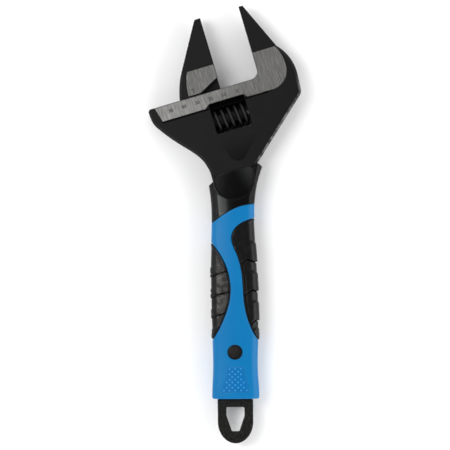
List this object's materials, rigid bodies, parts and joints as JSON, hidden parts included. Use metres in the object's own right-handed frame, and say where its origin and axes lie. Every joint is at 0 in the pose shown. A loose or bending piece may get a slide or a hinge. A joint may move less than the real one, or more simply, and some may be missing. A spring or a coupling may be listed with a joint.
{
  "type": "adjustable wrench",
  "caption": "Adjustable wrench with a wide sliding jaw moved by a worm, a black forged head with bare ground lands, and a two-material grip over a shank with a hanging hole.",
  "frame": {"origin": "centre of the hanging hole, midway through the thickness", "axes": "+Y along the handle to the jaws, +X to the fixed jaw's side, +Z out of the face"},
  "size_m": [0.1108, 0.318, 0.0242],
  "materials": {
    "black_coat": "black coating over a forging, fine grain, satin",
    "dark_steel": "blackened steel, bright on the thread crests",
    "bare_steel": "ground bare, satin",
    "blue_shell": "moulded, semi-gloss",
    "soft_black": "moulded soft plastic, matt with a fine grain",
    "plug_black": "moulded, satin"
  },
  "bodies": {
    "handle": {"body": "black_coat", "worm_pin": "bare_steel", "grip_sleeve": "blue_shell", "grip_collar": "soft_black", "grip_panel_right": "soft_black", "grip_panel_left": "soft_black", "grip_lock_plug": "plug_black"},
    "jaw": {"movable_jaw": "black_coat"},
    "worm": {"worm": "dark_steel", "worm_spring": "bare_steel"}
  },
  "joints": [
    {"name": "worm_turn", "type": "hinge", "parent": "handle", "child": "worm", "pos_m": [-0.00168, 0.21915, 0], "axis": [0.9613, 0.2756, 0], "range_deg": [-2090, 1499]},
    {"name": "jaw_slide", "type": "slide", "parent": "handle", "child": "jaw", "axis": [-0.9613, -0.2756, 0], "range_m": [-0.029, 0.0208]}
  ],
  "couplings": [
    {"joint": "worm_turn", "follows": "jaw_slide", "rad_per_m": 1256.6}
  ]
}
